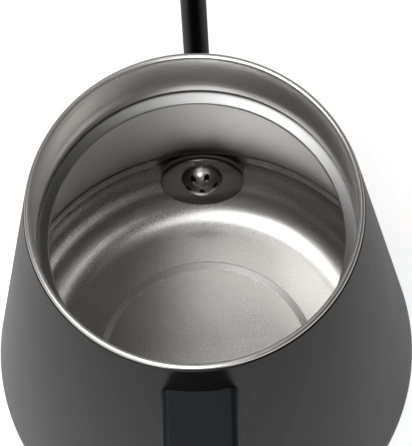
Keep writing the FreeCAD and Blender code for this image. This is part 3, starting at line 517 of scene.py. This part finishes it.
def arc_between(start, end, radius, steps):
    """Points of an arc of under a half turn; a positive radius turns left on the way."""
    first, last = Vector(start), Vector(end)
    chord = last - first
    left = Vector((-chord.y, chord.x)).normalized()
    rise = math.sqrt(max(radius * radius - chord.length_squared / 4.0, 0.0))
    centre = (first + last) / 2.0 + left * math.copysign(rise, radius)
    begin = math.atan2(first.y - centre.y, first.x - centre.x)
    finish = math.atan2(last.y - centre.y, last.x - centre.x)
    if radius > 0.0 and finish < begin:
        finish += math.tau
    if radius < 0.0 and finish > begin:
        finish -= math.tau
    return sweep(centre, abs(radius), begin, finish, steps)


def only_select(piece):
    """Select one piece alone and make it the active one."""
    bpy.ops.object.select_all(action="DESELECT")
    piece.select_set(True)
    bpy.context.view_layer.objects.active = piece


def clean_up():
    """Join doubles and turn faces outwards, in edit mode."""
    bpy.ops.mesh.select_all(action="SELECT")
    bpy.ops.mesh.remove_doubles(threshold=JOIN_WITHIN)
    bpy.ops.mesh.normals_make_consistent(inside=False)


def lathe(name, outline, segments, centre=Vector((0, 0, 0)), axis=UP, side=ACROSS):
    """Turn a closed outline of (radius, height) about an axis. A third number rounds that corner."""
    places = [centre + side * point[0] + axis * point[1] for point in outline]
    bpy.ops.object.select_all(action="DESELECT")
    bpy.ops.mesh.primitive_plane_add(size=START_SIZE, location=(0, 0, 0))
    piece = bpy.context.object
    piece.name = name
    piece.data.name = name
    bpy.ops.object.mode_set(mode="EDIT")
    bpy.ops.mesh.select_all(action="SELECT")
    bpy.ops.mesh.merge(type="CENTER")
    bpy.ops.transform.translate(value=places[0])
    for before, after in zip(places, places[1:] + places[:1]):
        bpy.ops.mesh.extrude_vertices_move(TRANSFORM_OT_translate={"value": after - before})
    bpy.ops.mesh.select_all(action="SELECT")
    bpy.ops.mesh.remove_doubles(threshold=OUTLINE_JOIN_WITHIN)
    for place, point in zip(places, outline):
        if len(point) == 3:
            round_corner(piece, place, point[2])
    bpy.ops.mesh.select_all(action="SELECT")
    bpy.ops.mesh.spin(steps=segments, angle=math.tau, center=centre, axis=axis)
    clean_up()
    bpy.ops.object.mode_set(mode="OBJECT")
    return piece


def round_corner(piece, place, radius):
    """Round the outline's corner that lies at a place."""
    bpy.ops.mesh.select_all(action="DESELECT")
    mesh = bmesh.from_edit_mesh(piece.data)
    corner = min(mesh.verts, key=lambda vertex: (vertex.co - place).length)
    corner.select = True
    mesh.select_flush(True)
    bmesh.update_edit_mesh(piece.data)
    bpy.ops.mesh.bevel(offset=radius, offset_type="OFFSET", segments=CORNER_STEPS, affect="VERTICES")


def dress(piece, body, nodes, slot, *materials):
    """Smooth a new piece, give it its finishes and put it in place of its solids."""
    only_select(piece)
    bpy.ops.object.shade_smooth_by_angle(angle=SMOOTH_BELOW)
    piece.data.materials.clear()
    for material in materials:
        piece.data.materials.append(material)
    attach(piece, body)
    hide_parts(*nodes)


def coat_node(node, material):
    """Give a solid that stays its finish."""
    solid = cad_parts[node]
    solid.data.materials.clear()
    solid.data.materials.append(material)


def coat_nodes(finishes):
    """Give each finish to the solids listed under it."""
    for material, nodes in finishes.items():
        for node in nodes:
            coat_node(node, material)


def rod(radius, depth, middle, direction, sides):
    """Plain round bar, to be joined to a piece or cut from it."""
    bpy.ops.object.select_all(action="DESELECT")
    roll = Quaternion(direction, math.pi / (BAR_ROLL * sides))
    turned = (roll @ UP.rotation_difference(direction)).to_euler()
    bpy.ops.mesh.primitive_cylinder_add(vertices=sides, radius=radius, depth=depth, location=middle,
                                        rotation=turned)
    return bpy.context.object


def combine(piece, tool, operation):
    """Join a tool to a piece or cut it away, and remove the tool."""
    only_select(piece)
    step = piece.modifiers.new("combine", "BOOLEAN")
    step.operation = operation
    step.object = tool
    bpy.ops.object.modifier_apply(modifier=step.name)
    bpy.data.objects.remove(tool)


def thicken(piece, wall):
    """Give a thin shell its wall, inwards."""
    only_select(piece)
    solid = piece.modifiers.new("wall", "SOLIDIFY")
    solid.thickness = wall
    solid.offset = -1.0
    bpy.ops.object.modifier_apply(modifier=solid.name)


def bend_tube(name, corners, rounds, radius):
    """Pull a ring along straight runs and spin it round the bends between them."""
    bpy.ops.object.select_all(action="DESELECT")
    bpy.ops.mesh.primitive_circle_add(vertices=TUBE_SIDES, radius=radius, location=(0, 0, 0))
    tube = bpy.context.object
    tube.name = name
    tube.data.name = name
    bpy.ops.object.mode_set(mode="EDIT")
    bpy.ops.mesh.select_all(action="SELECT")
    bpy.ops.transform.rotate(value=math.pi / 2.0, orient_axis="X", center_override=(0, 0, 0))
    bpy.ops.transform.translate(value=corners[0])
    at = corners[0]
    for before, corner, after, bend in zip(corners, corners[1:], corners[2:], rounds):
        inward = (corner - before).normalized()
        onward = (after - corner).normalized()
        turn = inward.angle(onward)
        trim = bend * math.tan(turn / 2.0)
        run_end = corner - inward * trim
        bpy.ops.mesh.extrude_edges_move(TRANSFORM_OT_translate={"value": run_end - at})
        axis = inward.cross(onward).normalized()
        centre = run_end + axis.cross(inward) * bend
        bpy.ops.mesh.spin(steps=BEND_STEPS, angle=-turn, center=centre, axis=axis)
        at = corner + onward * trim
    bpy.ops.mesh.extrude_edges_move(TRANSFORM_OT_translate={"value": corners[-1] - at})
    clean_up()
    bpy.ops.object.mode_set(mode="OBJECT")
    return tube


def plate_reach(s):
    """Foot of the strainer's dome from the body's axis."""
    inside = s.wall + s.sheet_gap + s.pan_wall
    return wall_radius(s, s.jug_low + s.spout_rise, inside) - s.plate_standoff


def spout_core(s):
    """Bar that cuts the spout's way through the wall and the dish."""
    height = s.jug_low + s.spout_rise
    middle = Vector((0.0, wall_radius(s, height), height))
    return rod(s.spout_radius + s.sheet_gap, s.spout_radius * WAY_LENGTH, middle, SPOUTWARD, WAY_SIDES)


class KETTLE_OT_wall(bpy.types.Operator):
    """Flared body wall: black coat outside, bare steel inside"""

    bl_idname = "kettle.wall"
    bl_label = "Body wall"

    def execute(self, context):
        s = context.scene.kettle_sizes
        finish = context.scene.kettle_finishes
        centre = bottom_centre(s)
        lean = math.atan(s.flare)
        inner_round = s.bottom_round - s.wall
        top = s.rim_height - s.lip_roll - s.sheet_gap / 2.0
        above = s.jug_low + s.spout_rise + s.spout_radius * WAY_RING
        outline = sweep(centre, s.bottom_round, -math.acos(s.opening_reach / s.bottom_round), lean,
                        FINE_STEPS)
        outline += [
            (wall_radius(s, above), above),
            (wall_radius(s, top), top, s.wall * WALL_EDGE),
            (wall_radius(s, top, s.wall), top),
            (wall_radius(s, above, s.wall), above),
        ]
        outline += sweep(centre, inner_round, lean, -math.acos(s.opening_reach / inner_round),
                         FINE_STEPS)
        piece = lathe("kettle_wall", outline, s.segments)
        combine(piece, spout_core(s), "DIFFERENCE")
        coated, bare = range(2)
        slots = []
        for face in piece.data.polygons:
            outward = Vector((face.center.x, face.center.y, 0.0))
            slots.append(bare if face.normal.dot(outward) < 0.0 else coated)
        dress(piece, "jug", ["body_shell"], "black_coating",
              satin_coat("satin_black_coat", finish.coat, rough=0.22, gloss=0.30),
              drawn_steel("drawn_wall_steel", finish.steel, rough=0.36, ring_share=0.5,
                          grain_depth=0.000006, mottle=0.05))
        piece.data.polygons.foreach_set("material_index", slots)
        return {"FINISHED"}


class KETTLE_OT_mouth(bpy.types.Operator):
    """Rolled lip with its hollow band, and the lid ledge"""

    bl_idname = "kettle.mouth"
    bl_label = "Mouth"

    def execute(self, context):
        s = context.scene.kettle_sizes
        finish = context.scene.kettle_finishes
        steel = drawn_steel("satin_mouth_steel", finish.bright, rough=0.25, ring_share=0.6,
                            grain_depth=0.000005, mottle=0.03)
        bore = s.rim_radius - s.collar_set
        outside = bore + s.collar_wall
        low = s.rim_height - s.collar_depth
        straight_top = low + s.collar_straight
        lip = s.lip_roll / 2.0
        lip_low = s.rim_height - s.lip_roll
        lip_inner = s.rim_radius - s.lip_roll
        outline = [(bore, low, s.collar_wall * BAND_EDGE), (outside, low)]
        outline += arc_between((outside, straight_top), (s.rim_radius - lip, lip_low),
                               s.collar_hollow + s.collar_wall, BAND_STEPS)
        outline += sweep((s.rim_radius - lip, s.rim_height - lip), lip, DOWNWARD, math.pi,
                         ROUND_STEPS)[1:]
        outline += [(lip_inner, lip_low + s.lip_step)]
        outline += arc_between((lip_inner + s.lip_step, lip_low), (bore, straight_top),
                               -s.collar_hollow, BAND_STEPS)
        dress(lathe("mouth_band", outline, s.segments), "jug", ["mouth_collar"], "polished_steel", steel)

        ledge_top = low - s.seam_gap
        flange = wall_radius(s, ledge_top, s.wall) - s.sheet_gap
        edge = bore - s.ledge_width
        ledge = lathe("lid_ledge", [
            (edge, ledge_top - s.ledge_drop - s.ledge_wall, s.ledge_round),
            (bore, ledge_top - s.ledge_wall),
            (flange, ledge_top - s.ledge_wall),
            (flange, ledge_top),
            (bore, ledge_top, s.ledge_bend),
            (edge, ledge_top - s.ledge_drop, s.ledge_round),
        ], s.segments)
        # The ledge takes a darker steel than the band: painted shade on its highlight.
        dress(ledge, "jug", ["lid_ledge_ring"], "polished_steel",
              drawn_steel("satin_ledge_steel", finish.ledge, rough=0.30, ring_share=0.6,
                          grain_depth=0.000005, mottle=0.03))
        return {"FINISHED"}


class KETTLE_OT_floor_dish(bpy.types.Operator):
    """Floor dish: bead at its top edge, cove, flat ring and sunk disc"""

    bl_idname = "kettle.floor_dish"
    bl_label = "Floor dish"

    def execute(self, context):
        s = context.scene.kettle_sizes
        finish = context.scene.kettle_finishes
        lean = math.atan(s.flare)
        face = s.wall + s.sheet_gap
        skirt = face + s.pan_wall * SKIRT_STEP
        inside = face + s.pan_wall
        floor = s.jug_low + s.floor_rise
        sunk = floor - s.sink_depth
        top = s.jug_low + s.pan_rise
        cove_height = floor + s.cove_round
        cove = (wall_radius(s, cove_height, inside) - s.cove_round * flare_length(s), cove_height)
        sink = cove[0] - s.floor_ring
        foot = sink - s.sink_slope
        notch_top = top - s.bead_land
        notch_low = notch_top - s.bead_notch
        notch_middle = (notch_top + notch_low) / 2.0
        outline = [
            (0.0, sunk - s.pan_wall),
            (foot, sunk - s.pan_wall),
            (sink, floor - s.pan_wall),
        ]
        outline += sweep(cove, s.cove_round + s.pan_wall, DOWNWARD, lean, ROUND_STEPS)
        outline += [
            (wall_radius(s, top, face), top),
            (wall_radius(s, top, skirt), top, s.pan_wall * SKIRT_EDGE),
            (wall_radius(s, notch_top, skirt), notch_top, s.press_round),
            (wall_radius(s, notch_middle, skirt) + s.bead_depth / 2.0, notch_middle, s.notch_round),
        ]
        cove_end = (cove[0] + s.cove_round * math.cos(lean), cove[1] + s.cove_round * math.sin(lean))
        outline += arc_between((wall_radius(s, notch_low, skirt), notch_low), cove_end, s.bead_round,
                               BEAD_STEPS)
        outline += sweep(cove, s.cove_round, lean, DOWNWARD, FINE_STEPS)[1:]
        outline += [
            (sink, floor, s.press_round),
            (foot, sunk, s.press_round),
            (0.0, sunk),
        ]
        dish = lathe("floor_dish", outline, s.segments)
        combine(dish, spout_core(s), "DIFFERENCE")
        # The step's slope and the dish's upturned top edge take darker copies of the floor steel:
        # painted shade.
        plain, step, edge = range(3)
        slots = []
        for polygon in dish.data.polygons:
            reach = Vector((polygon.center.x, polygon.center.y)).length
            upturned = polygon.normal.z > UPTURNED
            if upturned and foot < reach < sink:
                slots.append(step)
            # Upturned faces at the top edge get the painted shade that dims their highlight.
            elif upturned and polygon.center.z > notch_top:
                slots.append(edge)
            else:
                slots.append(plain)
        grain = {"ring_share": 0.08, "grain_depth": 0.000013, "mottle": 0.07}
        dress(dish, "jug", ["floor_pan"], "satin_steel",
              drawn_steel("satin_floor_steel", finish.steel, rough=0.22, **grain),
              drawn_steel("pressed_step_steel", finish.step, rough=0.28, **grain),
              drawn_steel("sheared_edge_steel", finish.edge, rough=0.45, **grain))
        dish.data.polygons.foreach_set("material_index", slots)
        return {"FINISHED"}


class KETTLE_OT_strainer(bpy.types.Operator):
    """Strainer disc and its perforated dome over the spout's inlet"""

    bl_idname = "kettle.strainer"
    bl_label = "Strainer"

    def execute(self, context):
        s = context.scene.kettle_sizes
        finish = context.scene.kettle_finishes
        steel = bright_steel("strainer_steel", finish.strainer, rough=0.12)
        centre = Vector((0.0, plate_reach(s), s.jug_low + s.spout_rise))
        facing = Vector((0.0, -math.cos(s.plate_tilt), math.sin(s.plate_tilt)))
        upward = facing.cross(ACROSS)
        half = s.plate_wall / 2.0
        hole = s.dome_radius + s.dome_gap
        plate = lathe("strainer_disc", [
            (0.0, -half),
            (s.plate_radius, -half, s.plate_back_round),
            (s.plate_radius, half, s.plate_round),
            (0.0, half),
        ], DISC_SIDES, centre - upward * s.plate_drop, facing)
        sleeve_depth = half + s.plate_sleeve
        sleeve = rod(hole + s.plate_wall, sleeve_depth, centre - facing * sleeve_depth / 2.0, facing,
                     BORE_SIDES)
        combine(plate, sleeve, "UNION")
        combine(plate, rod(hole, sleeve_depth * CUT_THROUGH, centre, facing, BORE_SIDES), "DIFFERENCE")
        dress(plate, "jug", ["strainer_plate"], "satin_steel", steel)
        # The seal gets a painted shadow: a black band next to the disc stands for the dark gap between
        # disc and wall.
        silicone = seal_with_painted_shadow("seal_silicone", finish.rubber, finish.seal, centre, -facing,
                               s.plate_wall + s.seal_shadow_band)
        coat_node("strainer_seal", silicone)

        crown = (s.dome_radius ** 2 + s.dome_height ** 2) / (2.0 * s.dome_height)
        inner_crown = crown - s.dome_wall
        inner_radius = math.sqrt(inner_crown ** 2 - (crown - s.dome_height) ** 2)
        outline = [(inner_radius, -half), (s.dome_radius, -half)]
        outline += arc_between((s.dome_radius, half), (0.0, half + s.dome_height), crown, DOME_STEPS)
        outline += arc_between((0.0, half + s.dome_height - s.dome_wall), (inner_radius, half),
                               -inner_crown, DOME_STEPS)
        dome = lathe("strainer_cap", outline, BORE_SIDES, centre, facing)
        holes = [centre + upward * s.hole_lift]
        for index in range(DOME_HOLES):
            turn = math.radians(DOME_FIRST_HOLE) + math.tau * index / DOME_HOLES
            holes.append(holes[0] + (ACROSS * math.cos(turn) + upward * math.sin(turn)) * s.dome_circle)
        for middle in holes:
            drill = rod(s.dome_hole, s.dome_height * CUT_THROUGH, middle, facing, HOLE_SIDES)
            combine(dome, drill, "DIFFERENCE")
        dress(dome, "jug", ["strainer_dome"], "satin_steel",
              bright_steel("dome_steel", finish.steel, rough=0.2))
        return {"FINISHED"}


class KETTLE_OT_spout(bpy.types.Operator):
    """Gooseneck tube, bent up behind the body and over at the top"""

    bl_idname = "kettle.spout"
    bl_label = "Spout"

    def execute(self, context):
        s = context.scene.kettle_sizes
        finish = context.scene.kettle_finishes
        coat = satin_coat("satin_spout_coat", finish.coat, rough=0.3, gloss=0.18)
        height = s.jug_low + s.spout_rise
        elbow = wall_radius(s, height) + s.elbow_reach
        crest = elbow + s.spout_lean
        crest_height = s.jug_low + s.crest_rise
        corners = [
            Vector((0.0, plate_reach(s) + s.inlet_gap, height)),
            Vector((0.0, elbow, height)),
            Vector((0.0, crest, crest_height)),
            Vector((0.0, crest + s.tip_reach, crest_height + s.tip_climb)),
        ]
        tube = bend_tube("spout_pipe", corners, [s.elbow_round, s.crest_round], s.spout_radius)
        thicken(tube, s.spout_wall)
        dress(tube, "jug", ["spout_tube"], "black_coating", coat)
        coat_node("spout_ferrule", coat)
        return {"FINISHED"}


class KETTLE_OT_handle(bpy.types.Operator):
    """Handle, its cover strip, bracket and screws"""

    bl_idname = "kettle.handle"
    bl_label = "Handle"

    def execute(self, context):
        finish = context.scene.kettle_finishes
        grip = textured_plastic("grip_plastic", finish.handle, rough=0.36, grain_scale=1500.0)
        coat_node("handle_shell", grip)
        coat_node("handle_cover", grip)
        coat_node("handle_bracket", plain_metal("bracket_steel", finish.screw, rough=0.35))
        coat_node("handle_screws", plain_metal("handle_screw_steel", finish.screw, rough=0.3))
        return {"FINISHED"}


class KETTLE_OT_base(bpy.types.Operator):
    """Power base with its plug, button, lens, gland and foot"""

    bl_idname = "kettle.base"
    bl_label = "Power base"

    def execute(self, context):
        finish = context.scene.kettle_finishes
        shell = textured_plastic("base_plastic", finish.base, rough=0.45, grain_scale=1500.0)
        insulator = gloss_plastic("plug_plastic", finish.insulator, rough=0.28)
        rubber = textured_plastic("foot_rubber", finish.rubber, rough=0.7, grain_scale=900.0)
        contact = plain_metal("contact_brass", finish.brass, rough=0.25)
        screw = plain_metal("base_screw_steel", finish.screw, rough=0.3)
        coat_nodes({
            shell: ["base_housing", "base_plate"],
            insulator: ["base_connector", "power_relay", "button_switch"],
            rubber: ["rubber_foot_ring", "cord_gland"],
            contact: ["contact_pin", "inner_contact_ring", "outer_contact_ring"],
            screw: ["base_screws", "button_spring"],
            gloss_plastic("button_plastic", finish.button, rough=0.25): ["power_button"],
            gloss_plastic("board_lacquer", finish.board, rough=0.3): ["control_board"],
            lit_lens("indicator_red", finish.lens): ["indicator_lens"],
        })
        return {"FINISHED"}


class KETTLE_OT_underside(bpy.types.Operator):
    """Jug's underside: cover, socket, heater and their small fittings"""

    bl_idname = "kettle.underside"
    bl_label = "Underside"

    def execute(self, context):
        finish = context.scene.kettle_finishes
        cover = textured_plastic("cover_plastic", finish.base, rough=0.45, grain_scale=1500.0)
        socket = gloss_plastic("socket_plastic", finish.insulator, rough=0.28)
        screw = plain_metal("fitting_steel", finish.screw, rough=0.3)
        coat_nodes({
            cover: ["bottom_cover"],
            socket: ["jug_connector"],
            plain_metal("socket_brass", finish.brass, rough=0.25): ["socket_contact"],
            plain_metal("spreader_aluminium", finish.aluminium, rough=0.4): [
                "heat_spreader", "thermal_cutout"],
            plain_metal("element_steel", finish.steel, rough=0.35): ["heating_element"],
            screw: ["element_terminals", "temperature_sensor", "cover_studs", "cover_screws"],
        })
        return {"FINISHED"}


def make_floor(studio):
    """Wide pale floor that keeps the shadow: white to the camera, dim in reflections."""
    bpy.ops.object.select_all(action="DESELECT")
    bpy.ops.mesh.primitive_grid_add(x_subdivisions=FLOOR_PARTS, y_subdivisions=FLOOR_PARTS,
                                    size=FLOOR_SIZE, location=(0, 0, 0))
    floor = bpy.context.object
    floor.name = "studio_floor"
    paint = Paint("pale_floor")
    seen = paint.node("ShaderNodeLightPath", output="Is Camera Ray")
    glossy = paint.node("ShaderNodeLightPath", output="Is Glossy Ray")
    through = paint.node("ShaderNodeLightPath", output="Is Transmission Ray")
    shown = (seen + through) * studio.floor_seen + glossy * studio.floor_mirrored
    matt = paint.node("ShaderNodeBsdfDiffuse", inputs={"Color": opaque(studio.floor)})
    glow = paint.node("ShaderNodeEmission", inputs={"Color": opaque(WHITE), "Strength": shown})
    both = paint.node("ShaderNodeAddShader", inputs={0: matt, 1: glow})
    paint.node("ShaderNodeOutputMaterial", inputs={"Surface": both})
    floor.data.materials.append(paint.owner)


def make_world(scene, studio):
    """Faint light from all round, stronger near the horizon, as from a studio's pale walls."""
    scene.world = bpy.data.worlds.new("studio_world")
    paint = Paint("studio_world", scene.world)
    climb = paint.part(paint.node("ShaderNodeTexCoord", output="Generated"), "Z")
    level = (1.0 - climb * climb) ** HORIZON_FALL
    sky = paint.node("ShaderNodeBackground", inputs={
        "Color": opaque(WHITE), "Strength": level * studio.horizon + studio.world})
    paint.node("ShaderNodeOutputWorld", inputs={"Surface": sky})


def make_lamp(name, studio, elevation, azimuth, power):
    """Square soft lamp that looks at the kettle from a direction in degrees."""
    lamp = bpy.data.lights.new(name, "AREA")
    lamp.size = studio.lamp_width
    lamp.energy = power
    holder = bpy.data.objects.new(name, lamp)
    level = math.cos(math.radians(elevation))
    turn = math.radians(azimuth)
    away = Vector((level * math.cos(turn), level * math.sin(turn), math.sin(math.radians(elevation))))
    middle = UP * bpy.context.scene.kettle_sizes.rim_height * LAMP_AIM
    holder.location = middle + away * studio.lamp_distance
    holder.rotation_euler = (-away).to_track_quat("-Z", "Y").to_euler()
    bpy.context.scene.collection.objects.link(holder)


def make_camera(scene, studio):
    """Camera above the handle, looking down into the mouth."""
    camera = bpy.data.cameras.new("camera")
    camera.lens = studio.lens
    holder = bpy.data.objects.new("camera", camera)
    rim = Vector((0.0, 0.0, scene.kettle_sizes.rim_height))
    level = math.cos(studio.elevation)
    back = Vector((math.sin(studio.azimuth) * level, -math.cos(studio.azimuth) * level,
                   math.sin(studio.elevation)))
    forward = -back
    right = Vector((math.cos(studio.azimuth), math.sin(studio.azimuth), 0.0))
    up = right.cross(forward)
    panned = Quaternion(up, studio.pan)
    forward, right = panned @ forward, panned @ right
    tilted = Quaternion(right, studio.tilt)
    forward, up = tilted @ forward, tilted @ up
    rolled = Quaternion(forward, studio.roll)
    up = rolled @ up
    facing = forward.to_track_quat("-Z", "Y")
    facing_up = facing @ CAMERA_UP
    lean = facing_up.angle(up)
    if forward.dot(facing_up.cross(up)) < 0.0:
        lean = -lean
    holder.rotation_mode = "QUATERNION"
    holder.rotation_quaternion = Quaternion(forward, lean) @ facing
    holder.location = rim + back * studio.distance
    scene.collection.objects.link(holder)
    scene.camera = holder


class KETTLE_OT_studio(bpy.types.Operator):
    """Pale floor, soft lamps and the camera"""

    bl_idname = "kettle.studio"
    bl_label = "Studio"

    def execute(self, context):
        studio = context.scene.kettle_studio
        context.scene.view_settings.view_transform = "Standard"
        make_floor(studio)
        make_world(context.scene, studio)
        for name, elevation, azimuth in LAMPS:
            make_lamp(name + "_lamp", studio, elevation, azimuth, getattr(studio, name))
        make_camera(context.scene, studio)
        return {"FINISHED"}


class KETTLE_PT_panel(bpy.types.Panel):
    """Lists the kettle's pieces, sizes, finishes and studio"""

    bl_idname = "KETTLE_PT_panel"
    bl_label = "Kettle"
    bl_space_type = "VIEW_3D"
    bl_region_type = "UI"
    bl_category = "Kettle"

    def draw(self, context):
        column = self.layout.column()
        for operator in PIECES:
            column.operator(operator.bl_idname)
        scene = context.scene
        for group in (scene.kettle_sizes, scene.kettle_finishes, scene.kettle_studio):
            box = self.layout.box()
            for name in group.bl_rna.properties.keys():
                if name not in {"rna_type", "name"}:
                    box.prop(group, name)


PIECES = (
    KETTLE_OT_wall,
    KETTLE_OT_mouth,
    KETTLE_OT_floor_dish,
    KETTLE_OT_strainer,
    KETTLE_OT_spout,
    KETTLE_OT_handle,
    KETTLE_OT_base,
    KETTLE_OT_underside,
    KETTLE_OT_studio,
)
GROUPS = (KettleSizes, KettleFinishes, KettleStudio)


def register():
    for owner in GROUPS + PIECES + (KETTLE_PT_panel,):
        bpy.utils.register_class(owner)
    bpy.types.Scene.kettle_sizes = PointerProperty(type=KettleSizes)
    bpy.types.Scene.kettle_finishes = PointerProperty(type=KettleFinishes)
    bpy.types.Scene.kettle_studio = PointerProperty(type=KettleStudio)


def unregister():
    del bpy.types.Scene.kettle_studio
    del bpy.types.Scene.kettle_finishes
    del bpy.types.Scene.kettle_sizes
    for owner in reversed(GROUPS + PIECES + (KETTLE_PT_panel,)):
        bpy.utils.unregister_class(owner)


def main():
    register()
    bpy.ops.kettle.wall()
    bpy.ops.kettle.mouth()
    bpy.ops.kettle.floor_dish()
    bpy.ops.kettle.strainer()
    bpy.ops.kettle.spout()
    bpy.ops.kettle.handle()
    bpy.ops.kettle.base()
    bpy.ops.kettle.underside()
    bpy.ops.kettle.studio()


if __name__ == "__main__":
    main()
